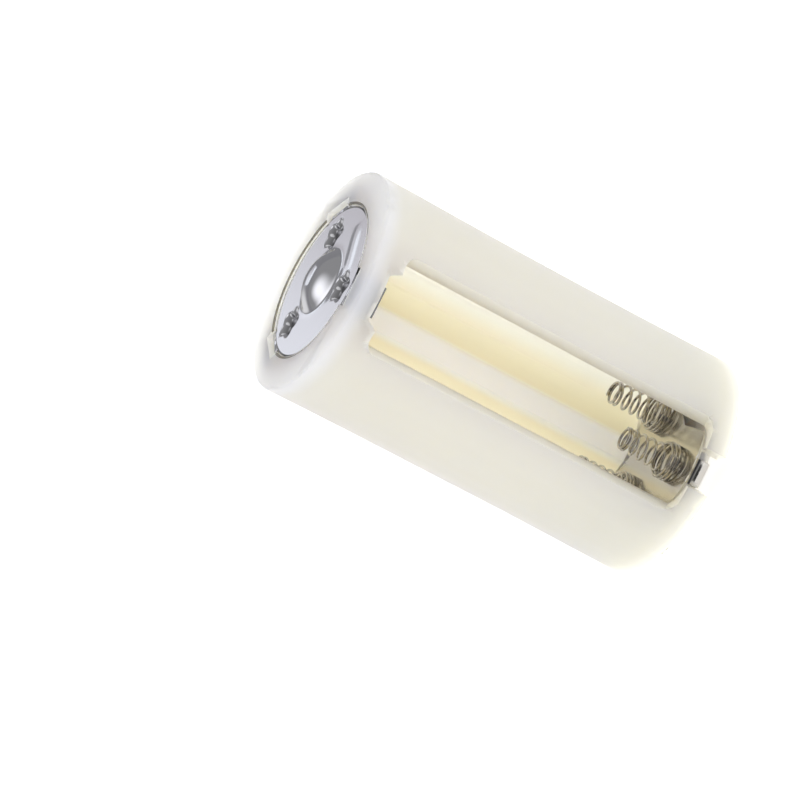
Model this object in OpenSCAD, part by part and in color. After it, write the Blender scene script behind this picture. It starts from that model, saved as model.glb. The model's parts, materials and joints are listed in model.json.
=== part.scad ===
// Holder that lets three small round cells stand in for one large cell.
// The axis is Z, the negative end stands on Z = 0 and the window faces -Y.
// Angles are measured round the axis from -Y towards +X.

/* [Cells] */
// Diameter of one small cell
cell_d = 14.5; // [13.6:0.1:14.5]
// Clearance between a cell and the round wall of its bay
cell_clear = 0.1; // [0.05:0.01:0.12]

/* [Case] */
// Outer diameter of the case at its two ends
case_d = 33.8; // [33.6:0.1:36]
// How far the round wall bows in between the ends
waist = 0.25; // [0.1:0.05:0.3]
// Length of the case between its two end faces
case_len = 60.15; // [58:0.05:62]
// Rounding of the outer edges at both ends
end_round = 0.45; // [0.3:0.05:0.8]
// Thickness of the end wall that carries the positive disc
pos_wall = 3; // [2.5:0.05:3.5]
// Thickness of the end wall that carries the negative plate
neg_wall = 1.48; // [1.2:0.02:2]
// Depth of the hollow that shelters the negative disc
neg_hollow = 1.18; // [0.9:0.02:1.6]
// Width of the rim round that hollow
rim_w = 2.9; // [2:0.1:3.2]
// Distance from the axis to the ridges between the bays
ridge_r = 9.4; // [8.8:0.1:10]

/* [Window] */
// Angle that the window takes out of the round wall
window_angle = 51.2; // [40:0.2:54]
// Height of the sill above the floor of the bays
sill_h = 0.8; // [0.5:0.1:1.5]
// Height of the lip that keeps the cells in at the positive end
lip_h = 1.7; // [1.2:0.1:2.5]
// Rounding of the window's corners
window_round = 1.9; // [1:0.1:3]
// Width of the notch in the lip, next to the end wall
lip_notch_w = 6.7; // [6.6:0.1:8]
// Width by which each side of that notch opens towards the window
lip_notch_flare = 0.9; // [0.4:0.1:1.2]
// Half angle of the notch in the rim
rim_notch_half = 10.3; // [9.5:0.1:12]

/* [Sheet metal] */
// Thickness of the sheet of both terminals
sheet = 0.3; // [0.2:0.05:0.4]
// Diameter of the two outer discs
disc_d = 23.3; // [21:0.1:23.5]
// Depth of the positive disc's face under the end face of the case
disc_sink = 0.35; // [0.1:0.05:0.5]
// Play between the positive disc and its recess
disc_clear = 0.15; // [0.1:0.05:0.25]
// Bending radius of the sheet, at the middle of its thickness
bend_r = 0.5; // [0.35:0.05:0.6]
// How far the terminals sit turned within their play
turn = -2; // [-2:0.5:2]

/* [Positive terminal] */
// Diameter of the button at its foot
button_d = 9.8; // [8:0.1:10]
// Height of the button above the disc
button_h = 1.95; // [1.5:0.05:2.5]
// Width of a tab
tab_w = 4.6; // [3.5:0.1:5]
// Distance from the disc's edge to the middle of a tab's leg
tab_reach = 0.9; // [0.8:0.05:1]
// Length of the end that is folded outwards behind the end wall
fold_len = 2.1; // [1.6:0.1:2.1]
// Angle by which the fold springs back from the end wall
fold_back = 14; // [8:1:18]
// Play outside a tab's leg in its slot
slot_clear = 0.25; // [0.2:0.05:0.3]
// Play at each side of a tab in its slot
slot_side = 0.6; // [0.5:0.05:0.7]

/* [Stars] */
// Tip radius of the stars that are punched into the sheet
star_r = 2.2; // [1.8:0.1:2.4]
// Waist radius of the stars
star_waist = 1.15; // [0.9:0.05:1.4]
// Depth of the stars in the positive disc
star_depth = 1.1; // [0.8:0.05:1.3]
// Height of the stars under the springs
star_h = 0.9; // [0.6:0.05:1.2]
// Distance from the axis to the stars of the positive disc
star_pitch = 8; // [7.8:0.1:8.4]
// Diameter of the hole in the end wall for a cell's nub
nub_hole_d = 6.6; // [6:0.1:6.8]

/* [Negative terminal] */
// Width of a lobe of the inner plate
lobe_w = 11.7; // [10:0.1:11.8]
// Distance from the axis to the end of a lobe
lobe_reach = 13.6; // [13:0.05:13.7]
// Diameter of the plate between its lobes
hub_d = 15.2; // [13:0.1:16]
// Width of the strip that goes round the end wall
strip_w = 3.8; // [3:0.1:4]

/* [Springs] */
// Diameter of the spring wire
wire_d = 0.4; // [0.35:0.05:0.5]
// Distance from the axis to the middle of a spring
spring_pitch = 7.1; // [6.8:0.1:8]
// Diameter of the coils at the base, at the middle of the wire
spring_base_d = 5.3; // [5.2:0.1:5.8]
// Diameter of the lowest open coil, at the middle of the wire
spring_neck_d = 3.8; // [3.6:0.1:4.4]
// Diameter of the top coil, at the middle of the wire
spring_tip_d = 3; // [2.6:0.1:3.6]
// Free height of a spring
spring_h = 8.9; // [8.5:0.1:11]
// Number of wide turns over the closed coil at the base
base_turns = 2.5; // [1.5:0.5:3]
// Rise of one of these turns
base_lead = 0.62; // [0.56:0.02:0.9]
// Number of open turns
open_turns = 4; // [3:0.5:5]
// Number of closed turns at the tip
tip_turns = 1.5; // [1:0.5:2]
// How far the tips of the three springs lean, across and outwards
spring_lean = [[0, 0.4], [-0.1, -0.5], [0.1, -0.2]];

/* [Hidden] */
$fn = 96;
lap = 0.5;                                   // overlap of a cutter past a face
case_r = case_d / 2;
wall_steps = 12;                             // facets of the wall's bow along the case
bay_r = cell_d / 2 + cell_clear;
bay_pitch = cell_d / sqrt(3);                // three cells that touch each other
bay_count = 3;
bay_step = 360 / bay_count;
floor_z = neg_hollow + neg_wall;             // floor of the bays
ceiling_z = case_len - pos_wall;             // inner face of the positive end wall
disc_z = case_len - disc_sink;               // outer face of the positive disc
window_z0 = floor_z + sill_h;
window_z1 = ceiling_z - lip_h;
land_r = bay_pitch + bay_r / 2;              // reach of the flats on the ridges
wall_edge_r = case_r - rim_w;                // edge of the end wall in the rim notch
disc_r = disc_d / 2;
recess_r = disc_r + disc_clear;
tab_r = disc_r + tab_reach;                  // middle of a tab's leg
edge_clear = 0.05;                           // keeps a bend off the edge that it goes round
slot_r0 = tab_r - bend_r - edge_clear;       // the inner edge lies under the start of the bend
slot_r1 = tab_r + sheet / 2 + slot_clear;
slot_w = tab_w + 2 * slot_side;
strip_r = wall_edge_r + bend_r + edge_clear; // the strip bends round the edge of the end wall
bend_steps = 6;
metal = [0.76, 0.76, 0.77];
plastic = [0.96, 0.94, 0.88];
coil_sides = 7;
coil_steps = 14;                             // rings for one turn of wire
closed_turns = 1;                            // closed coils under the wide turns
closed_lead = wire_d * 1.04;                 // rise of one closed coil
open_start = closed_turns + base_turns;
tip_start = open_start + open_turns;
all_turns = tip_start + tip_turns;
neck_turns = 1.4;                            // turns over which the wide coils become narrow
neck_start = open_start - 0.75 * neck_turns;
closed_rise = closed_lead * (closed_turns + tip_turns);
open_lead = (spring_h - wire_d - closed_rise - base_lead * base_turns) / open_turns;

// A point at radius r and angle a on the floor plane
function polar(r, a) = [r * sin(a), -r * cos(a)];

// Points of an arc round c
function arc(c, r, a0, a1, n = bend_steps) =
    [for (i = [0:n]) c + r * [cos(a0 + (a1 - a0) * i / n), sin(a0 + (a1 - a0) * i / n)]];

function unit(v) = v / norm(v);
function left_of(v) = [-v[1], v[0]];

// Direction of a path at point i
function along(p, i) = unit(p[min(i + 1, len(p) - 1)] - p[max(i - 1, 0)]);

// Outline of a sheet of thickness t whose middle follows the path p
function ribbon(p, t) = concat(
    [for (i = [0:len(p) - 1]) p[i] + left_of(along(p, i)) * t / 2],
    [for (i = [len(p) - 1:-1:0]) p[i] - left_of(along(p, i)) * t / 2]);

// Five-pointed star with soft tips, grown outwards by the given amount
module star_2d(grow = 0) {
    mid = (star_r + star_waist) / 2;
    swing = (star_r - star_waist) / 2;
    polygon([for (a = [0:9:351]) (mid + grow + swing * cos(5 * a)) * [cos(a), sin(a)]]);
}

// Repeats its children at each star's place, all the same way round
module each_star(pitch) {
    for (i = [0:bay_count - 1]) {
        place = polar(pitch, i * bay_step);
        translate([place[0], place[1], 0]) children();
    }
}

// Repeats its children at the angle of each bay
module each_bay() {
    for (i = [0:bay_count - 1]) rotate(i * bay_step) children();
}

// Bar of revolution with rounded outer edges, whose wall bows in by dip between them
module bowed_bar(r, h, f, dip) {
    rotate_extrude()
    union() {
        polygon(concat(
            [[0, 0], [r - f, 0]],
            [for (i = [0:wall_steps])
                [r - dip * sin(180 * i / wall_steps), f + (h - 2 * f) * i / wall_steps]],
            [[r - f, h], [0, h]]));
        translate([r - f, f]) circle(f, $fn = 32);
        translate([r - f, h - f]) circle(f, $fn = 32);
    }
}

// Hollow of the three bays, which open into each other in the middle
module bays_2d() {
    each_bay() {
        translate([0, -bay_pitch]) circle(bay_r);
        translate([-bay_r, -bay_pitch]) square([2 * bay_r, bay_pitch]);
    }
    intersection() {
        rotate(-90) circle(2 * ridge_r, $fn = 3);
        circle(land_r);
    }
}

// Sector of a circle, centred on the window
module sector_2d(r, half) {
    polygon(concat([[0, 0]], [for (i = [-2:2]) polar(r, half * i / 2)]));
}

// Opening in the side wall, with radial side faces and rounded corners
module window_cut() {
    half_w = case_r * sin(window_angle / 2);
    f = window_round;
    intersection() {
        translate([0, 0, window_z0])
            linear_extrude(window_z1 - window_z0) sector_2d(2 * case_r, window_angle / 2);
        translate([0, 0, window_z0])
        rotate([90, 0, 0])
        linear_extrude(2 * case_r)
        union() {
            translate([f - half_w, 0]) square([2 * (half_w - f), window_z1 - window_z0]);
            translate([-half_w, f]) square([2 * half_w, window_z1 - window_z0 - 2 * f]);
            for (x = [f - half_w, half_w - f], z = [f, window_z1 - window_z0 - f])
                translate([x, z]) circle(f, $fn = 32);
        }
    }
}

// Notch in the lip, wider at its mouth on the window
module lip_notch_cut() {
    top = lip_notch_w / 2;
    mouth = top + lip_notch_flare;
    steep = lip_notch_flare / lip_h;
    translate([0, -bay_pitch, 0])
    rotate([90, 0, 0])
    linear_extrude(case_r)
    polygon([[-top, ceiling_z], [top, ceiling_z],
             [mouth + steep * lap, window_z1 - lap], [-mouth - steep * lap, window_z1 - lap]]);
}

// Notch in the rim, down to the edge of the end wall
module rim_notch_cut() {
    translate([0, 0, -lap])
    linear_extrude(window_z0 + 2 * lap)
    difference() {
        sector_2d(2 * case_r, rim_notch_half);
        circle(wall_edge_r);
    }
}

module case() {
    color(plastic)
    difference() {
        bowed_bar(case_r, case_len, end_round, waist);
        translate([0, 0, floor_z]) linear_extrude(ceiling_z - floor_z) bays_2d();
        window_cut();
        lip_notch_cut();
        rim_notch_cut();
        // hollow under the negative end wall
        translate([0, 0, -lap]) cylinder(h = neg_hollow + lap, r = wall_edge_r);
        // recess of the positive disc and the channels of its tabs
        translate([0, 0, disc_z - sheet])
            cylinder(h = disc_sink + sheet + lap, r = recess_r);
        each_bay() {
            translate([-slot_w / 2, -slot_r1, disc_z - sheet])
                cube([slot_w, slot_r1 - bay_pitch, disc_sink + sheet + lap]);
            translate([-slot_w / 2, -slot_r1, ceiling_z - lap])
                cube([slot_w, slot_r1 - slot_r0, pos_wall + 2 * lap]);
            translate([0, -star_pitch, ceiling_z - lap])
                cylinder(h = pos_wall + lap, d = nub_hole_d);
        }
    }
}

// Height of the button over its foot at radius r
function dome(r, foot, h) = h * (1 - pow(r / foot, 2.3));

// Pressed button, hollow underneath
module button() {
    foot = button_d / 2;
    inner = foot - sheet;
    steps = 12;
    translate([0, 0, disc_z - sheet])
    rotate_extrude()
    polygon(concat(
        [for (i = [0:steps]) [foot * i / steps, sheet + dome(foot * i / steps, foot, button_h)]],
        [[foot + sheet, sheet], [foot + sheet, 0]],
        [for (i = [steps:-1:0]) [inner * i / steps, dome(inner * i / steps, inner, button_h)]]));
}

// Tab that runs out from the disc, down through the end wall and outwards behind it
module tab() {
    z_top = disc_z - sheet / 2;
    // the fold clears the end wall all along, because it slopes away from it
    z_fold = ceiling_z - sheet - bend_r * (1 - cos(fold_back));
    out = [cos(fold_back), -sin(fold_back)];
    low = [tab_r + bend_r, z_fold + bend_r];
    low_arc = arc(low, bend_r, 180, 270 - fold_back);
    path = concat(
        [[disc_r - lap, z_top]],
        arc([tab_r - bend_r, z_top - bend_r], bend_r, 90, 0),
        low_arc,
        [low_arc[bend_steps] + out * fold_len]);
    rotate([90, 0, -90])
    translate([0, 0, -tab_w / 2])
    linear_extrude(tab_w)
    polygon(ribbon(path, sheet));
}

module positive_terminal() {
    color(metal)
    rotate(turn)
    union() {
        difference() {
            union() {
                translate([0, 0, disc_z - sheet]) cylinder(h = sheet, r = disc_r);
                each_bay() tab();
                each_star(star_pitch)
                    translate([0, 0, disc_z - star_depth - sheet])
                    linear_extrude(star_depth + sheet / 2) star_2d(sheet);
            }
            translate([0, 0, disc_z - sheet - lap])
                cylinder(h = sheet + 2 * lap, d = button_d);
            each_star(star_pitch)
                translate([0, 0, disc_z - star_depth])
                linear_extrude(star_depth + lap) star_2d();
        }
        button();
    }
}

// Inner plate with a lobe for each bay
module lobed_plate_2d() {
    circle(d = hub_d);
    intersection() {
        circle(lobe_reach);
        each_bay() translate([-lobe_w / 2, -case_r]) square([lobe_w, case_r]);
    }
}

// Strip from the inner plate round the edge of the end wall to the outer disc
module strip() {
    z_in = floor_z + sheet / 2;
    z_out = neg_hollow - sheet / 2;
    path = concat(
        [[lobe_reach - lap, z_in]],
        arc([strip_r - bend_r, z_in - bend_r], bend_r, 90, 0),
        arc([strip_r - bend_r, z_out + bend_r], bend_r, 0, -90),
        [[disc_r - lap, z_out]]);
    rotate([90, 0, -90])
    translate([0, 0, -strip_w / 2])
    linear_extrude(strip_w)
    polygon(ribbon(path, sheet));
}

module negative_terminal() {
    color(metal)
    rotate(turn)
    difference() {
        union() {
            translate([0, 0, floor_z]) linear_extrude(sheet) lobed_plate_2d();
            translate([0, 0, neg_hollow - sheet]) cylinder(h = sheet, r = disc_r);
            strip();
            each_star(spring_pitch)
                translate([0, 0, floor_z + sheet / 2])
                linear_extrude(star_h + sheet / 2) star_2d();
        }
        each_star(spring_pitch)
            translate([0, 0, floor_z - lap])
            linear_extrude(star_h + lap) star_2d(-sheet);
    }
}

// Rise of a stretch of wire that starts at turn t0, after t turns in all
function climb(t, t0, turns, lead) = lead * max(0, min(t - t0, turns));

// Height of the wire's middle after t turns
function coil_z(t) = wire_d / 2
    + climb(t, 0, closed_turns, closed_lead)
    + climb(t, closed_turns, base_turns, base_lead)
    + climb(t, open_start, open_turns, open_lead)
    + climb(t, tip_start, tip_turns, closed_lead);

// How far t is on its way from t0 over a stretch of turns, from 0 to 1
function share(t, t0, turns) = min(max((t - t0) / turns, 0), 1);

// Radius of the coil after t turns
function coil_r(t) =
    let (neck = (1 - cos(180 * share(t, neck_start, neck_turns))) / 2,
         taper = share(t, open_start, all_turns - open_start),
         narrow_d = spring_neck_d + (spring_tip_d - spring_neck_d) * taper)
    (spring_base_d + (narrow_d - spring_base_d) * neck) / 2;

// Middle of the wire after t turns, with the tip moved by lean
function coil_point(t, lean) =
    [coil_r(t) * cos(360 * t), coil_r(t) * sin(360 * t), coil_z(t)]
    + [lean[0], -lean[1], 0] * pow(coil_z(t) / spring_h, 1.5);

// Wire swept along the coil, one ring of points after another
module coil(lean) {
    rings = all_turns * coil_steps;
    points = [for (i = [0:rings], s = [0:coil_sides - 1])
        let (t = i / coil_steps, a = 360 * s / coil_sides,
             out = [cos(360 * t), sin(360 * t), 0])
        coil_point(t, lean) + wire_d / 2 * (cos(a) * out + sin(a) * [0, 0, 1])];
    sides = [for (i = [0:rings - 1], s = [0:coil_sides - 1])
        let (n = (s + 1) % coil_sides, a = i * coil_sides, b = a + coil_sides)
        [a + s, a + n, b + n, b + s]];
    first = [for (s = [coil_sides - 1:-1:0]) s];
    last = [for (s = [0:coil_sides - 1]) rings * coil_sides + s];
    polyhedron(points, concat(sides, [first, last]), convexity = 10);
}

// Spring of bay i, standing over its star on the inner plate
module spring(i) {
    color(metal)
    rotate(turn + i * bay_step)
    translate([0, -spring_pitch, floor_z + sheet])
    coil(spring_lean[i]);
}

module spring_window() spring(0);
module spring_right() spring(1);
module spring_left() spring(2);

case();
positive_terminal();
negative_terminal();
spring_window();
spring_right();
spring_left();
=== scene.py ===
import json
import math

import bmesh
import bpy
from mathutils import Matrix, Vector

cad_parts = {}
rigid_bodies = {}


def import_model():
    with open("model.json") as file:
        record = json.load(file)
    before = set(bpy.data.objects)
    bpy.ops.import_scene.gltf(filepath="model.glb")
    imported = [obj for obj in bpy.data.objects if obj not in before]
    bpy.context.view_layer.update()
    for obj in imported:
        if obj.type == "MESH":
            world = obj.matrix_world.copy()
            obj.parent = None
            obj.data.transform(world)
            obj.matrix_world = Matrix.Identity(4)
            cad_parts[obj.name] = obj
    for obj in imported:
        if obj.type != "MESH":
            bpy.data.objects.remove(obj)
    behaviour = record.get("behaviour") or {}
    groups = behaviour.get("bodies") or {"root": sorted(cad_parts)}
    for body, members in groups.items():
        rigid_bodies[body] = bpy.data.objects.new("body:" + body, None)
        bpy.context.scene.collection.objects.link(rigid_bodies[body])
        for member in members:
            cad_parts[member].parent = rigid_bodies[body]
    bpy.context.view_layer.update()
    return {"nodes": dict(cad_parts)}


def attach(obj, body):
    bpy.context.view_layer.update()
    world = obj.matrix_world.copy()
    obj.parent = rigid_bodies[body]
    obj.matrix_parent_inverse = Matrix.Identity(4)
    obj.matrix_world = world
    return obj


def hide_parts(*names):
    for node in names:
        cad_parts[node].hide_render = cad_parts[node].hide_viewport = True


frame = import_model()
print("frame loaded:", ", ".join(sorted(frame["nodes"])))

mm = 0.001
scene = bpy.context.scene
scene.view_settings.view_transform = "Standard"
scene.cycles.diffuse_bounces = 12
for spare in [o for o in bpy.data.objects if o.name in ("Cube", "Light", "Camera")]:
    bpy.data.objects.remove(spare)

# lengths are in mm and angles in degrees unless a line says otherwise
cameraView = {"azimuth": -4.92, "elevation": 21.014, "roll": -62.306, "distance": 716.05,
              "aside": -13.797, "rise": -3.545, "aimHeight": 29.925, "lens": 228.8}


def makeCamera(v):
    az, el, roll = (math.radians(v[k]) for k in ("azimuth", "elevation", "roll"))
    back = Vector((math.sin(az) * math.cos(el), -math.cos(az) * math.cos(el), math.sin(el)))
    right = Vector((math.cos(az), math.sin(az), 0))
    up = back.cross(right)
    sideAxis = right * math.cos(roll) + up * math.sin(roll)
    upAxis = up * math.cos(roll) - right * math.sin(roll)
    place = back * v["distance"] + sideAxis * v["aside"] + upAxis * v["rise"]
    place += Vector((0, 0, v["aimHeight"]))
    data = bpy.data.cameras.new("camera")
    data.lens, data.sensor_width = v["lens"], 36
    data.clip_start, data.clip_end = 0.05, 20
    camera = bpy.data.objects.new("camera", data)
    scene.collection.objects.link(camera)
    turn = Matrix((sideAxis, upAxis, back)).transposed().to_4x4()
    camera.matrix_world = Matrix.Translation(place * mm) @ turn
    scene.camera = camera


makeCamera(cameraView)
print("camera placed")


def newGroup(name, kind, inputs, outputs):
    group = bpy.data.node_groups.new(name, kind)
    for label, socketType, default in inputs:
        socket = group.interface.new_socket(name=label, in_out="INPUT", socket_type=socketType)
        if default is not None:
            socket.default_value = default
    for label, socketType in outputs:
        group.interface.new_socket(name=label, in_out="OUTPUT", socket_type=socketType)
    return group, group.nodes.new("NodeGroupInput"), group.nodes.new("NodeGroupOutput")


def addNode(tree, kind, values=None, **settings):
    node = tree.nodes.new(kind)
    for key, value in settings.items():
        setattr(node, key, value)
    for key, value in (values or {}).items():
        if isinstance(value, bpy.types.NodeSocket):
            tree.links.new(value, node.inputs[key])
        else:
            node.inputs[key].default_value = value
    return node


# broad blotches and fine grain over any surface, stretched along one axis where it was rolled or drawn
def makeUneven():
    group, source, sink = newGroup(
        "unevenSurface", "ShaderNodeTree",
        [("Vector", "NodeSocketVector", (0, 0, 0)), ("Scale", "NodeSocketFloat", 400.0),
         ("Stretch", "NodeSocketVector", (1, 1, 1))],
        [("Broad", "NodeSocketFloat"), ("Fine", "NodeSocketFloat")])
    stretch = addNode(group, "ShaderNodeVectorMath",
                      {0: source.outputs["Vector"], 1: source.outputs["Stretch"]}, operation="MULTIPLY")
    broad = addNode(group, "ShaderNodeTexNoise",
                    {"Vector": stretch.outputs[0], "Scale": source.outputs["Scale"], "Detail": 3.0})
    finer = addNode(group, "ShaderNodeMath", {0: source.outputs["Scale"], 1: 6.0}, operation="MULTIPLY")
    fine = addNode(group, "ShaderNodeTexNoise",
                   {"Vector": stretch.outputs[0], "Scale": finer.outputs[0], "Detail": 2.0})
    group.links.new(broad.outputs[0], sink.inputs["Broad"])
    group.links.new(fine.outputs[0], sink.inputs["Fine"])
    return group


unevenSurface = makeUneven()


def makeMaterial(name, look):
    material = bpy.data.materials.new(name)
    material.use_nodes = True
    tree = material.node_tree
    shader = tree.nodes["Principled BSDF"]
    for key, value in look["shader"].items():
        shader.inputs[key].default_value = value
    link = tree.links.new
    coord = addNode(tree, "ShaderNodeTexCoord")
    uneven = addNode(tree, "ShaderNodeGroup", node_tree=unevenSurface)
    uneven.inputs["Scale"].default_value = look["scale"]
    uneven.inputs["Stretch"].default_value = look["stretch"]
    link(coord.outputs["Object"], uneven.inputs["Vector"])
    tint = addNode(tree, "ShaderNodeMix", data_type="RGBA")
    tint.inputs[6].default_value = (*look["colorA"], 1)
    tint.inputs[7].default_value = (*look["colorB"], 1)
    link(uneven.outputs["Broad"], tint.inputs[0])
    color = tint.outputs[2]
    for share, zoneColor in look["zones"](tree, coord.outputs["Object"]):
        zone = addNode(tree, "ShaderNodeMix", {0: share, 6: color}, data_type="RGBA")
        zone.inputs[7].default_value = (*zoneColor, 1)
        color = zone.outputs[2]
    link(color, shader.inputs["Base Color"])
    low, high = look["roughness"]
    gloss = addNode(tree, "ShaderNodeMapRange",
                    {"Value": uneven.outputs["Broad"], "To Min": low, "To Max": high})
    link(gloss.outputs[0], shader.inputs["Roughness"])
    bump = addNode(tree, "ShaderNodeBump",
                   {"Strength": look["bump"], "Distance": look["bumpDepth"] * mm,
                    "Height": uneven.outputs["Fine"]})
    link(bump.outputs[0], shader.inputs["Normal"])
    return material


# the end and rib colours are painted light, the bay colour a painted warm shade, the gap colour a painted
# shadow line
plasticLook = {"middle": 30.0, "endFrom": 27.0, "endTo": 30.0, "wallIn": 12.6, "wallOut": 14.2,
               "ribFrom": -0.74, "ribTo": -0.95, "ribTurn": -1.5,
               "gapR": 11.95, "gapHalf": 0.2, "gapLow": 59.95,
               "endLitColor": (0.965, 0.955, 0.87), "bayShadeColor": (0.94, 0.79, 0.59),
               "ribLitColor": (1.0, 0.985, 0.91), "gapShadeColor": (0.12, 0.115, 0.10)}


# painted light and shade: a cooler white painted on the ends and ribs as lit, a warmer painted shade on the
# thin walls, a painted dark shadow in the gap round the disc
def plasticLightAndShade(tree, spot):
    v = plasticLook

    def calc(operation, a, b=0.0):
        return addNode(tree, "ShaderNodeMath", {0: a, 1: b}, operation=operation).outputs[0]

    def ramp(value, start, end):
        return addNode(tree, "ShaderNodeMapRange", {"Value": value, "From Min": start, "From Max": end},
                       interpolation_type="SMOOTHSTEP").outputs[0]

    x, y, z = addNode(tree, "ShaderNodeSeparateXYZ", {0: spot}).outputs
    radius = calc("SQRT", calc("ADD", calc("MULTIPLY", x, x), calc("MULTIPLY", y, y)))
    around = calc("ARCTAN2", x, calc("MULTIPLY", y, -1.0))
    around = calc("MULTIPLY", calc("ADD", around, math.radians(v["ribTurn"])), 3.0)
    # painted light on the solid ends and the ribs, painted warm shade on the thin bay walls
    end = ramp(calc("ABSOLUTE", calc("SUBTRACT", z, v["middle"] * mm)), v["endFrom"] * mm, v["endTo"] * mm)
    bay = calc("MULTIPLY", ramp(radius, v["wallOut"] * mm, v["wallIn"] * mm), calc("SUBTRACT", 1.0, end))
    rib = calc("MULTIPLY", bay, ramp(calc("COSINE", around), v["ribFrom"], v["ribTo"]))
    # a painted dark shadow line in the gap round the disc
    gap = calc("COMPARE", radius, v["gapR"] * mm)
    gap.node.inputs[2].default_value = v["gapHalf"] * mm
    gap = calc("MULTIPLY", gap, calc("GREATER_THAN", z, v["gapLow"] * mm))
    return [(end, v["endLitColor"]), (bay, v["bayShadeColor"]), (rib, v["ribLitColor"]), (gap, v["gapShadeColor"])]


# painted shade: dark on the rim, stars, tab legs and a strip band, for shadow and dark reflections; painted
# light: near-white on the sides against the plastic; each marked by an attribute
def sheetLightAndShade(tree, spot):
    # the near-white is painted light thrown back into the plastic, the near-black is painted shade
    zoneColors = {"covered": (0.97, 0.97, 0.96), "worn": (0.06, 0.06, 0.06)}
    return [(addNode(tree, "ShaderNodeAttribute", attribute_name=name).outputs["Fac"], color)
            for name, color in zoneColors.items()]


milkyPlastic = makeMaterial("milkyPlastic", {
    "colorA": (0.845, 0.815, 0.655), "colorB": (0.87, 0.84, 0.695), "roughness": (0.32, 0.42),
    "scale": 60.0, "stretch": (1, 1, 0.3), "bump": 0.12, "bumpDepth": 0.04, "zones": plasticLightAndShade,
    "shader": {"Subsurface Weight": 1.0, "Subsurface Radius": (1.0, 0.97, 0.8), "Subsurface Scale": 0.025,
               "IOR": 1.5}})
brightSheet = makeMaterial("brightSheet", {
    "colorA": (0.72, 0.72, 0.75), "colorB": (0.76, 0.76, 0.79), "roughness": (0.08, 0.14),
    "scale": 120.0, "stretch": (1, 0.1, 1), "bump": 0.05, "bumpDepth": 0.02, "zones": sheetLightAndShade,
    "shader": {"Metallic": 1.0}})
innerSheet = makeMaterial("innerSheet", {
    "colorA": (0.62, 0.60, 0.57), "colorB": (0.67, 0.65, 0.62), "roughness": (0.14, 0.22),
    "scale": 120.0, "stretch": (1, 0.1, 1), "bump": 0.05, "bumpDepth": 0.02, "zones": sheetLightAndShade,
    "shader": {"Metallic": 1.0}})
springSteel = makeMaterial("springSteel", {
    "colorA": (0.2, 0.18, 0.15), "colorB": (0.78, 0.74, 0.68), "roughness": (0.05, 0.1),
    "scale": 500.0, "stretch": (1, 1, 1), "bump": 0.03, "bumpDepth": 0.02, "zones": sheetLightAndShade,
    "shader": {"Metallic": 1.0}})
print("materials ready")


def addPiece(name, mesh, material, slotName, *nodes):
    mesh.materials.clear()
    mesh.materials.append(material)
    piece = bpy.data.objects.new(name, mesh)
    scene.collection.objects.link(piece)
    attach(piece, "root")
    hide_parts(*nodes)
    print("made", name, "with", len(mesh.polygons), "faces")
    return piece


def smoothShade(mesh, angle):
    for face in mesh.polygons:
        face.use_smooth = True
    mesh.set_sharp_from_angle(angle=math.radians(angle))


def bakeModifiers(worker):
    graph = bpy.context.evaluated_depsgraph_get()
    mesh = bpy.data.meshes.new_from_object(worker.evaluated_get(graph))
    bpy.data.objects.remove(worker)
    return mesh


caseLook = {"mergeWithin": 0.002, "flatAngle": 0.8, "edgeRound": 0.22, "edgeSteps": 3, "edgeAngle": 28,
            "normalWeight": 60}


# the CAD case with soft moulded edges
def makeCase(v):
    bm = bmesh.new()
    bm.from_mesh(frame["nodes"]["case"].data)
    bmesh.ops.remove_doubles(bm, verts=bm.verts, dist=v["mergeWithin"] * mm)
    bmesh.ops.dissolve_limit(bm, angle_limit=math.radians(v["flatAngle"]), verts=bm.verts, edges=bm.edges)
    mesh = bpy.data.meshes.new("case")
    bm.to_mesh(mesh)
    bm.free()
    worker = bpy.data.objects.new("worker", mesh)
    scene.collection.objects.link(worker)
    for face in mesh.polygons:
        face.use_smooth = True
    bevel = worker.modifiers.new("edges", "BEVEL")
    bevel.width, bevel.segments = v["edgeRound"] * mm, v["edgeSteps"]
    bevel.limit_method, bevel.angle_limit = "ANGLE", math.radians(v["edgeAngle"])
    weigh = worker.modifiers.new("normals", "WEIGHTED_NORMAL")
    weigh.weight, weigh.keep_sharp = v["normalWeight"], True
    return bakeModifiers(worker)


addPiece("moulded_case", makeCase(caseLook), milkyPlastic, "case", "case")

bayTurn = 120
caseSizes = {"disc": 59.8, "floor": 2.66, "hollow": 1.18, "ceiling": 57.15}
sheetLook = {"thick": 0.3, "turn": -2.0, "bend": 0.5, "discR": 11.65, "discLap": 0.25, "stripSink": 0.01,
             "buttonPitch": 8.0, "springPitch": 7.1, "smoothAngle": 50}
starLook = {"points": 5, "tip": 2.55, "waist": 2.0, "wall": 0.9, "lip": 0.1, "tipShape": 0.8}


def polar(radius, degrees):
    a = math.radians(degrees)
    return Vector((radius * math.sin(a), -radius * math.cos(a)))


def smoothStep(t):
    t = min(max(t, 0.0), 1.0)
    return t * t * (3 - 2 * t)


# 1 inside a punched star, 0 outside, with a soft wall between
def starAt(x, y, pitch, v):
    best = 0.0
    for bay in range(3):
        place = polar(pitch, bay * bayTurn)
        dx, dy = x - place.x, y - place.y
        away = math.hypot(dx, dy)
        if away < v["tip"] + v["wall"]:
            tip = ((1 + math.cos(v["points"] * math.atan2(dy, dx))) / 2) ** v["tipShape"]
            edge = v["waist"] + (v["tip"] - v["waist"]) * tip
            best = max(best, smoothStep((edge + v["lip"] - away) / v["wall"]))
    return best


# angles all round, closer together near the three stars
def spreadAngles(coarse, fine, reach):
    angles, a, roundOff = [], 0.0, 1e-6
    while a < 360 - roundOff:
        angles.append(a)
        a += fine if abs((a + bayTurn / 2) % bayTurn - bayTurn / 2) < reach else coarse
    return angles


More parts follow.
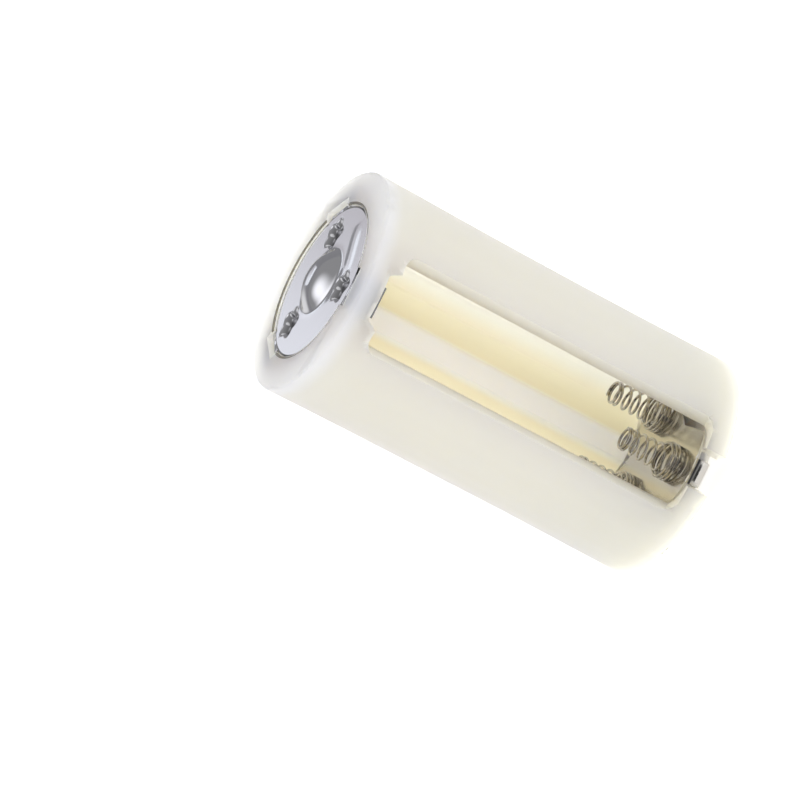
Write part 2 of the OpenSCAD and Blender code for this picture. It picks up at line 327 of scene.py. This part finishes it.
# radii from (start, end, steps) stretches
def spreadRadii(*stops):
    radii = [start + (end - start) * i / steps for (start, end, steps) in stops for i in range(steps)]
    return radii + [stops[-1][1]]


# no painted shade anywhere
def neverShaded(x, y):
    return 0.0


# closed sheet over a round or lobed outline, whose height is a function of the place
def pressedSheet(bm, outline, height, level, angles, radii, coveredSide=1, shadedRings=0, shadeAt=neverShaded):
    outer = radii[-1]
    sides = []
    layers = bm.verts.layers.float
    for name in ("worn", "covered"):
        if name not in layers:
            layers.new(name)
    worn, covered = layers["worn"], layers["covered"]
    for drop in (0.0, sheetLook["thick"]):
        rings = []
        for r in radii[1:]:
            spots = [polar(r * outline(a) / outer, a) for a in angles]
            rings.append([bm.verts.new((p.x, p.y, level + height(p.x, p.y, r / outer) - drop))
                          for p in spots])
        sides.append((bm.verts.new((0, 0, level + height(0, 0, 0) - drop)), rings))
    count = len(angles)
    for below, (centre, rings) in enumerate(sides):
        for i in range(count):
            j = (i + 1) % count
            cells = [[centre, rings[0][i], rings[0][j]]]
            cells += [[a[i], b[i], b[j], a[j]] for a, b in zip(rings, rings[1:])]
            for cell in cells:
                bm.faces.new(cell[::-1] if below else cell)
    top, bottom = sides[0][1][-1], sides[1][1][-1]
    for i in range(count):
        j = (i + 1) % count
        bm.faces.new((top[i], bottom[i], bottom[j], top[j]))
    # the covered side gets painted light, the places given get painted shade
    for side, (centre, rings) in enumerate(sides):
        for ring in rings[:-1]:
            for vert in ring:
                vert[covered] = float(side == coveredSide)
                vert[worn] = shadeAt(vert.co.x, vert.co.y)
        # the outermost rings get painted shade
        for ring in rings[len(rings) - shadedRings:]:
            for vert in ring:
                vert[worn] = 1.0


# strip of sheet along a path of (radius, height), facing outwards at an angle round the axis
def bentStrip(bm, path, width, degrees, shadeAt, soft=0.04):
    a = math.radians(degrees)
    across = Vector((math.cos(a), math.sin(a), 0))
    outward = Vector((math.sin(a), -math.cos(a), 0))
    half, t = width / 2, sheetLook["thick"] / 2
    section = [(soft - half, t), (half - soft, t), (half, t - soft), (half, soft - t),
               (half - soft, -t), (soft - half, -t), (-half, soft - t), (-half, t - soft)]
    rings = []
    for i, p in enumerate(path):
        d = (path[min(i + 1, len(path) - 1)] - path[max(i - 1, 0)]).normalized()
        spots = [(p + Vector((-d.y, d.x)) * n, s) for (s, n) in section]
        rings.append([bm.verts.new(outward * q.x + across * s + Vector((0, 0, q.y)))
                      for (q, s) in spots])
    count = len(section)
    for first, second in zip(rings, rings[1:]):
        for i in range(count):
            j = (i + 1) % count
            bm.faces.new((first[i], second[i], second[j], first[j]))
    bm.faces.new(rings[0])
    bm.faces.new(rings[-1][::-1])
    # painted shade along the strip, set by height
    worn = bm.verts.layers.float["worn"]
    for ring in rings:
        for vert in ring:
            vert[worn] = shadeAt(vert.co.z)


def arcPoints(centre, radius, start, end, steps=10):
    turns = [math.radians(start + (end - start) * i / steps) for i in range(steps + 1)]
    return [Vector(centre) + radius * Vector((math.cos(a), math.sin(a))) for a in turns]


def finishSheet(bm, name):
    bmesh.ops.recalc_face_normals(bm, faces=bm.faces)
    turn = Matrix.Rotation(math.radians(sheetLook["turn"]), 3, "Z")
    bmesh.ops.rotate(bm, verts=bm.verts, cent=(0, 0, 0), matrix=turn)
    bmesh.ops.scale(bm, vec=(mm, mm, mm), verts=bm.verts)
    mesh = bpy.data.meshes.new(name)
    bm.to_mesh(mesh)
    bm.free()
    smoothShade(mesh, sheetLook["smoothAngle"])
    return mesh


# creaseStart and creaseEnd are (x, y) on the disc, dome is a power and foot is in mm2;
# edgeFrom and the painted dark of the stars and the tab legs are shares of 1
positiveLook = {"buttonR": 4.9, "buttonH": 1.95, "dome": 2.5, "foot": 0.05, "footEnd": 1.2, "footFade": 1.0,
                "creaseStart": (9.4, -3.2), "creaseEnd": (1.8, -7.6), "creaseHigh": 0.09, "creaseW": 1.25,
                "starDeep": 0.9, "starDarkness": 0.62, "edgeDrop": 0.07, "edgeFrom": 0.985, "edgeRings": 5,
                "tabW": 4.6, "tabReach": 0.9, "tabDarkness": 0.85, "shadeTop": 0.08, "topBend": 0.75,
                "foldLen": 2.1, "foldBack": 14}


def makePositive(v):
    def height(x, y, share):
        r = math.hypot(x, y)
        dome = v["buttonH"] * (1 - (r / v["buttonR"]) ** v["dome"])
        soft = 0.5 * (dome + math.sqrt(dome * dome + v["foot"]))
        rise = soft * smoothStep((v["buttonR"] + v["footEnd"] - r) / v["footFade"])
        rise -= v["starDeep"] * starAt(x, y, sheetLook["buttonPitch"], starLook)
        rise -= v["edgeDrop"] * smoothStep((share - v["edgeFrom"]) / (1 - v["edgeFrom"]))
        fromStart = Vector((x, y)) - creaseStart
        along = fromStart.dot(creaseRun) / creaseRun.length_squared
        off = fromStart.cross(creaseRun) / creaseRun.length
        endFade = max(1 - (2 * along - 1) ** 4, 0.0)
        return rise + v["creaseHigh"] * math.exp(-(off / v["creaseW"]) ** 2) * endFade

    # painted dark reflection in the punched stars
    def starShade(x, y):
        return v["starDarkness"] * starAt(x, y, sheetLook["buttonPitch"], starLook)

    # painted shade on the tab legs below a small height over the strip, for the dark they mirror
    def tabShade(z):
        return v["tabDarkness"] if z < level + v["shadeTop"] else 0.0

    creaseStart = Vector(v["creaseStart"])
    creaseRun = Vector(v["creaseEnd"]) - creaseStart
    discR, bend = sheetLook["discR"], sheetLook["bend"]
    bm = bmesh.new()
    # the outer rim rings get a painted dark shadow line and the stars a painted dark reflection
    pressedSheet(bm, lambda a: discR, height, caseSizes["disc"], spreadAngles(2.0, 0.62, 19),
                 spreadRadii((0, 5.6, 36), (5.6, 10.5, 52), (10.5, 11.35, 3), (11.35, discR, 5)),
                 shadedRings=v["edgeRings"], shadeAt=starShade)
    level = caseSizes["disc"] - sheetLook["thick"] / 2 - sheetLook["stripSink"]
    legR = discR + v["tabReach"]
    slope = math.radians(v["foldBack"])
    low = caseSizes["ceiling"] - sheetLook["thick"] - bend * (1 - math.cos(slope))
    lowArc = arcPoints((legR + bend, low + bend), bend, 180, 270 - v["foldBack"])
    end = lowArc[-1] + Vector((math.cos(slope), -math.sin(slope))) * v["foldLen"]
    path = [Vector((discR - sheetLook["discLap"], level))]
    path += arcPoints((legR - v["topBend"], level - v["topBend"]), v["topBend"], 90, 0)
    path += lowArc + [end]
    for bay in range(3):
        bentStrip(bm, path, v["tabW"], bay * bayTurn, tabShade)
    return finishSheet(bm, "positive")


addPiece("positive_sheet", makePositive(positiveLook), brightSheet, "sheet", "positive_terminal")

# a higher boxiness squares the corners of the lobes
# the low and top heights bound a painted dark reflection band on the strip
negativeLook = {"lobeW": 11.7, "lobeReach": 13.6, "hubR": 7.6, "boxiness": 24, "starHigh": 0.9,
                "stripW": 3.8, "stripLap": 0.4, "shadeLow": -0.26, "shadeTop": -0.03,
                "wallEdge": 14.05, "topBend": 1.0}


def makeNegative(v):
    def lobedOutline(a):
        reach, power, notZero, ahead = v["hubR"], v["boxiness"], 1e-6, 0.01
        for bay in range(3):
            off = math.radians((a - bay * bayTurn + 180) % 360 - 180)
            if math.cos(off) > ahead:
                side = v["lobeW"] / 2 / max(abs(math.sin(off)), notZero)
                reach = max(reach, (side ** -power + v["lobeReach"] ** -power) ** (-1 / power))
        return reach

    def starRise(x, y, share):
        return v["starHigh"] * starAt(x, y, sheetLook["springPitch"], starLook)

    # a painted black reflection band across the strip
    def stripShade(z):
        return 1.0 if v["shadeLow"] < z - inside < v["shadeTop"] else 0.0

    bm = bmesh.new()
    floor, bend, discR = caseSizes["floor"] + sheetLook["thick"], sheetLook["bend"], sheetLook["discR"]
    pressedSheet(bm, lobedOutline, starRise, floor, spreadAngles(1.5, 0.8, 22),
                 spreadRadii((0, 4.4, 6), (4.4, 9.8, 50), (9.8, v["lobeReach"], 6)))
    pressedSheet(bm, lambda a: discR, lambda x, y, share: 0.0, caseSizes["hollow"],
                 spreadAngles(3, 3, 0), spreadRadii((0, 11.4, 3), (11.4, discR, 1)), coveredSide=0)
    sink = sheetLook["thick"] / 2 + sheetLook["stripSink"]
    inside, outside = floor - sink, caseSizes["hollow"] - sink
    legR = v["wallEdge"] + bend
    path = [Vector((v["lobeReach"] - v["stripLap"], inside))]
    path += arcPoints((legR - v["topBend"], inside - v["topBend"]), v["topBend"], 90, 0)
    path += arcPoints((legR - bend, outside + bend), bend, 0, -90)
    path += [Vector((discR - sheetLook["discLap"], outside))]
    bentStrip(bm, path, v["stripW"], 0, stripShade)
    return finishSheet(bm, "negative")


addPiece("negative_sheet", makeNegative(negativeLook), innerSheet, "inner_sheet", "negative_terminal")

springLook = {"wire": 0.4, "baseR": 2.65, "neckR": 1.9, "tipR": 1.5, "height": 8.9, "baseLead": 0.62,
              "closedTurns": 1.0, "baseTurns": 2.5, "openTurns": 4.0, "tipTurns": 1.5, "neckTurns": 1.4,
              "stepsPerTurn": 36, "smoothAngle": 60,
              "lean": {"spring_window": (0, 0.4), "spring_right": (-0.1, -0.5), "spring_left": (0.1, -0.2)}}


# Geometry Nodes tree that winds one spring on the Z axis, in metres
def makeSpringTree():
    tree, source, sink = newGroup(
        "conicalSpring", "GeometryNodeTree",
        [("Base Radius", "NodeSocketFloat", 0.0026), ("Neck Radius", "NodeSocketFloat", 0.0019),
         ("Tip Radius", "NodeSocketFloat", 0.0015), ("Neck Turns", "NodeSocketFloat", 1.6),
         ("Wire Radius", "NodeSocketFloat", 0.0002), ("Height", "NodeSocketFloat", 0.0094),
         ("Steps Per Turn", "NodeSocketFloat", 36.0),
         ("Closed Turns", "NodeSocketFloat", 1.0), ("Base Turns", "NodeSocketFloat", 2.5),
         ("Base Lead", "NodeSocketFloat", 0.0008), ("Open Turns", "NodeSocketFloat", 4.0),
         ("Tip Turns", "NodeSocketFloat", 1.5), ("Place", "NodeSocketVector", (0, 0, 0)),
         ("Lean", "NodeSocketVector", (0, 0, 0)), ("Start Angle", "NodeSocketFloat", 0.0),
         ("Material", "NodeSocketMaterial", None)],
        [("Geometry", "NodeSocketGeometry")])
    tree.is_modifier = True
    given = source.outputs
    # closedPitch is in wire radii, and neckAhead is the share of the neck that lies below the open coils
    closedPitch, neckAhead, leanPower, wireSides = 2.08, 0.75, 1.5, 12

    def calc(operation, a, b=0.0, c=0.0):
        return addNode(tree, "ShaderNodeMath", {0: a, 1: b, 2: c}, operation=operation).outputs[0]

    closedLead = calc("MULTIPLY", given["Wire Radius"], closedPitch)
    openStart = calc("ADD", given["Closed Turns"], given["Base Turns"])
    tipStart = calc("ADD", openStart, given["Open Turns"])
    turns = calc("ADD", tipStart, given["Tip Turns"])
    closedRise = calc("MULTIPLY", closedLead, calc("ADD", given["Closed Turns"], given["Tip Turns"]))
    wireRise = calc("MULTIPLY_ADD", given["Wire Radius"], -2.0, given["Height"])
    openRise = calc("SUBTRACT", wireRise, closedRise)
    openRise = calc("SUBTRACT", openRise, calc("MULTIPLY", given["Base Lead"], given["Base Turns"]))
    openLead = calc("DIVIDE", openRise, given["Open Turns"])
    points = calc("ADD", calc("MULTIPLY", turns, given["Steps Per Turn"]), 1.0)
    line = addNode(tree, "GeometryNodeMeshLine", {"Count": points})
    index = addNode(tree, "GeometryNodeInputIndex").outputs[0]
    t = calc("DIVIDE", index, given["Steps Per Turn"])

    # adds the rise of one stretch of the wire to the height so far
    def climb(rise, start, stretch, lead):
        done = calc("MINIMUM", calc("MAXIMUM", calc("SUBTRACT", t, start), 0.0), stretch)
        return calc("MULTIPLY_ADD", done, lead, rise)

    rise = climb(given["Wire Radius"], 0.0, given["Closed Turns"], closedLead)
    rise = climb(rise, given["Closed Turns"], given["Base Turns"], given["Base Lead"])
    rise = climb(rise, openStart, given["Open Turns"], openLead)
    rise = climb(rise, tipStart, given["Tip Turns"], closedLead)
    share = calc("ADD", calc("DIVIDE", calc("SUBTRACT", t, openStart), given["Neck Turns"]), neckAhead)
    wide = calc("COSINE", calc("MULTIPLY", calc("MINIMUM", calc("MAXIMUM", share, 0.0), 1.0), math.pi))
    wide = calc("MULTIPLY_ADD", wide, 0.5, 0.5)
    opened = calc("MAXIMUM", calc("SUBTRACT", t, openStart), 0.0)
    taper = calc("DIVIDE", opened, calc("SUBTRACT", turns, openStart))
    shrink = calc("SUBTRACT", given["Tip Radius"], given["Neck Radius"])
    narrow = calc("MULTIPLY_ADD", shrink, taper, given["Neck Radius"])
    radius = calc("MULTIPLY_ADD", calc("SUBTRACT", given["Base Radius"], narrow), wide, narrow)
    angle = calc("MULTIPLY_ADD", t, math.tau, given["Start Angle"])
    x = calc("MULTIPLY", radius, calc("COSINE", angle))
    y = calc("MULTIPLY", radius, calc("SINE", angle))
    spot = addNode(tree, "ShaderNodeCombineXYZ", {0: x, 1: y, 2: rise}).outputs[0]
    lean = calc("POWER", calc("DIVIDE", rise, given["Height"]), leanPower)
    shift = addNode(tree, "ShaderNodeVectorMath", {0: given["Lean"], "Scale": lean}, operation="SCALE")
    spot = addNode(tree, "ShaderNodeVectorMath", {0: spot, 1: shift.outputs[0]}, operation="ADD")
    spot = addNode(tree, "ShaderNodeVectorMath", {0: spot.outputs[0], 1: given["Place"]}, operation="ADD")
    moved = addNode(tree, "GeometryNodeSetPosition",
                    {"Geometry": line.outputs[0], "Position": spot.outputs[0]})
    curve = addNode(tree, "GeometryNodeMeshToCurve", {0: moved.outputs[0]})
    ring = addNode(tree, "GeometryNodeCurvePrimitiveCircle",
                   {"Resolution": wireSides, "Radius": given["Wire Radius"]})
    tube = addNode(tree, "GeometryNodeCurveToMesh",
                   {"Curve": curve.outputs[0], "Profile Curve": ring.outputs[0], "Fill Caps": True})
    shade = addNode(tree, "GeometryNodeSetShadeSmooth", {0: tube.outputs[0]})
    real = addNode(tree, "GeometryNodeRealizeInstances", {0: shade.outputs[0]})
    paint = addNode(tree, "GeometryNodeSetMaterial", {0: real.outputs[0], "Material": given["Material"]})
    tree.links.new(paint.outputs[0], sink.inputs[0])
    return tree


springTree = makeSpringTree()


def makeSpring(name, bay, v):
    place = polar(sheetLook["springPitch"], bay * bayTurn)
    place = Matrix.Rotation(math.radians(sheetLook["turn"]), 2) @ place
    aside, outward = v["lean"][name]
    lean = Matrix.Rotation(math.radians(bay * bayTurn), 2) @ Vector((aside, -outward))
    level = caseSizes["floor"] + sheetLook["thick"]
    values = {
        "Base Radius": v["baseR"] * mm, "Neck Radius": v["neckR"] * mm, "Tip Radius": v["tipR"] * mm,
        "Neck Turns": v["neckTurns"], "Wire Radius": v["wire"] / 2 * mm, "Height": v["height"] * mm,
        "Steps Per Turn": float(v["stepsPerTurn"]), "Closed Turns": v["closedTurns"],
        "Base Turns": v["baseTurns"], "Base Lead": v["baseLead"] * mm, "Open Turns": v["openTurns"],
        "Tip Turns": v["tipTurns"], "Start Angle": math.radians(bay * bayTurn + sheetLook["turn"]),
        "Place": (place.x * mm, place.y * mm, level * mm), "Lean": (lean.x * mm, lean.y * mm, 0),
        "Material": springSteel}
    worker = bpy.data.objects.new("worker", bpy.data.meshes.new("worker"))
    scene.collection.objects.link(worker)
    modifier = worker.modifiers.new("coil", "NODES")
    modifier.node_group = springTree
    for item in springTree.interface.items_tree:
        if item.in_out == "INPUT" and item.name in values:
            modifier[item.identifier] = values[item.name]
    mesh = bakeModifiers(worker)
    smoothShade(mesh, v["smoothAngle"])
    return mesh


for bay, name in enumerate(("spring_window", "spring_right", "spring_left")):
    addPiece("coil_" + name.split("_")[1], makeSpring(name, bay, springLook), springSteel, "wire", name)

# in metres; a lamp has a place, a size and a power, and a card fades with the distance from its spot
stageLook = {
    "floorSize": 12.0, "floorColor": (0.9, 0.9, 0.9), "floorLift": 0.52, "floorGlow": 0.3,
    "worldLevel": 0.42, "lampAim": (0, 0, 0.03),
    "lamps": {"left": ((-0.9, 0.1, 0.27), 0.7, 1.35), "front": ((0.12, -0.9, 0.4), 0.5, 3.0),
              "top": ((0.0, 0.25, 0.65), 0.5, 1.5), "back": ((0.1, 0.9, 0.06), 0.6, 7)},
    "cards": {
        "skyCard": {"place": (0, 0, 0.62), "aim": (0, 0, 0), "size": (1.8, 1.8),
                    "spot": (-0.17, 0.1, 0.62), "reach": (0.06, 0.4),
                    "inner": (1.35, 1.35, 1.38), "outer": (0.32, 0.32, 0.32)},
        "frontCard": {"place": (-0.08, -0.85, 0.55), "aim": (0, 0, 0.05), "size": (1.7, 1.8),
                      "spot": (0, -0.95, 0.4), "reach": (0.5, 0.9),
                      "inner": (0.03, 0.03, 0.03), "outer": (0.12, 0.12, 0.12)},
        "backCard": {"place": (0.06, 0.6, 0.28), "aim": (0.06, 0, 0.28), "size": (0.16, 0.09),
                     "spot": (0.36, 0.6, 0.28), "reach": (0.27, 0.325),
                     "inner": (0.61, 0.59, 0.62), "outer": (0.97, 0.985, 1.04)},
        "glintCard": {"place": (0.06, 0.6, 0.37), "aim": (0.06, 0, 0.37), "size": (0.18, 0.08),
                      "spot": (0.06, 0.6, 0.37), "reach": (0.1, 0.2),
                      "inner": (1.1, 1.14, 1.2), "outer": (1.1, 1.14, 1.2)},
        "wallCard": {"place": (0, 0.64, 0.35), "aim": (0, 0, 0.35), "size": (1.8, 0.8),
                     "spot": (-0.3, 0.64, 0.15), "reach": (0.15, 0.35),
                     "inner": (0.85, 0.85, 0.85), "outer": (0.27, 0.27, 0.28)}}}


# 1 for what the lens, a mirror or glass sees, 0 for plain light
def rayMask(tree):
    rays = addNode(tree, "ShaderNodeLightPath").outputs
    seen = rays["Is Camera Ray"]
    for kind in ("Is Glossy Ray", "Is Transmission Ray"):
        seen = addNode(tree, "ShaderNodeMath", {0: seen, 1: rays[kind]}, operation="MAXIMUM").outputs[0]
    return seen


def makeWorld(v):
    world = bpy.data.worlds.new("studio")
    scene.world = world
    world.use_nodes = True
    tree = world.node_tree
    back = tree.nodes["Background"]
    back.inputs["Color"].default_value = (1, 1, 1, 1)
    level = addNode(tree, "ShaderNodeMapRange",
                    {"Value": rayMask(tree), "To Min": v["worldLevel"], "To Max": 1.0})
    tree.links.new(level.outputs[0], back.inputs["Strength"])


# flat rectangle round its own middle
def makePanel(name, width, depth):
    mesh = bpy.data.meshes.new(name)
    w, d = width / 2, depth / 2
    mesh.from_pydata([(-w, -d, 0), (w, -d, 0), (w, d, 0), (-w, d, 0)], [], [(0, 1, 2, 3)])
    panel = bpy.data.objects.new(name, mesh)
    scene.collection.objects.link(panel)
    return panel


def makeFloor(v):
    floor = makePanel("floor", v["floorSize"], v["floorSize"])
    material = bpy.data.materials.new("paleFloor")
    material.use_nodes = True
    tree = material.node_tree
    shader = tree.nodes["Principled BSDF"]
    shader.inputs["Base Color"].default_value = (*v["floorColor"], 1)
    shader.inputs["Roughness"].default_value = 0.9
    shader.inputs["Specular IOR Level"].default_value = 0.0
    shader.inputs["Emission Color"].default_value = (1, 1, 1, 1)
    lift = addNode(tree, "ShaderNodeMapRange",
                   {"Value": rayMask(tree), "To Min": v["floorGlow"], "To Max": v["floorLift"]})
    tree.links.new(lift.outputs[0], shader.inputs["Emission Strength"])
    floor.data.materials.append(material)


# a studio card that only shows in polished metal: it casts no light and no shadow
def makeCard(name, v):
    card = makePanel(name, *v["size"])
    card.location = v["place"]
    facing = Vector(v["aim"]) - Vector(v["place"])
    card.rotation_euler = facing.to_track_quat("Z", "Y").to_euler()
    for kind in ("camera", "diffuse", "transmission", "volume_scatter", "shadow"):
        setattr(card, "visible_" + kind, False)
    material = bpy.data.materials.new(name)
    material.use_nodes = True
    tree = material.node_tree
    tree.nodes.clear()
    coord = addNode(tree, "ShaderNodeTexCoord")
    spot = card.rotation_euler.to_matrix().inverted() @ (Vector(v["spot"]) - Vector(v["place"]))
    away = addNode(tree, "ShaderNodeVectorMath", {0: coord.outputs["Object"], 1: spot},
                   operation="DISTANCE")
    fade = addNode(tree, "ShaderNodeMapRange",
                   {"Value": away.outputs["Value"], "From Min": v["reach"][0], "From Max": v["reach"][1]},
                   interpolation_type="SMOOTHSTEP")
    mix = addNode(tree, "ShaderNodeMix", {0: fade.outputs[0]}, data_type="RGBA")
    mix.inputs[6].default_value = (*v["inner"], 1)
    mix.inputs[7].default_value = (*v["outer"], 1)
    glow = addNode(tree, "ShaderNodeEmission", {"Color": mix.outputs[2]})
    addNode(tree, "ShaderNodeOutputMaterial", {"Surface": glow.outputs[0]})
    card.data.materials.append(material)


def makeLamp(name, place, size, power, aim):
    data = bpy.data.lights.new(name, "AREA")
    data.shape, data.size, data.energy = "DISK", size, power
    lamp = bpy.data.objects.new(name, data)
    scene.collection.objects.link(lamp)
    lamp.location = place
    lamp.rotation_euler = (Vector(place) - Vector(aim)).to_track_quat("Z", "Y").to_euler()
    lamp.visible_glossy = False


makeWorld(stageLook)
makeFloor(stageLook)
for name, lamp in stageLook["lamps"].items():
    makeLamp(name, *lamp, stageLook["lampAim"])
for name, card in stageLook["cards"].items():
    makeCard(name, card)
print("stage ready")
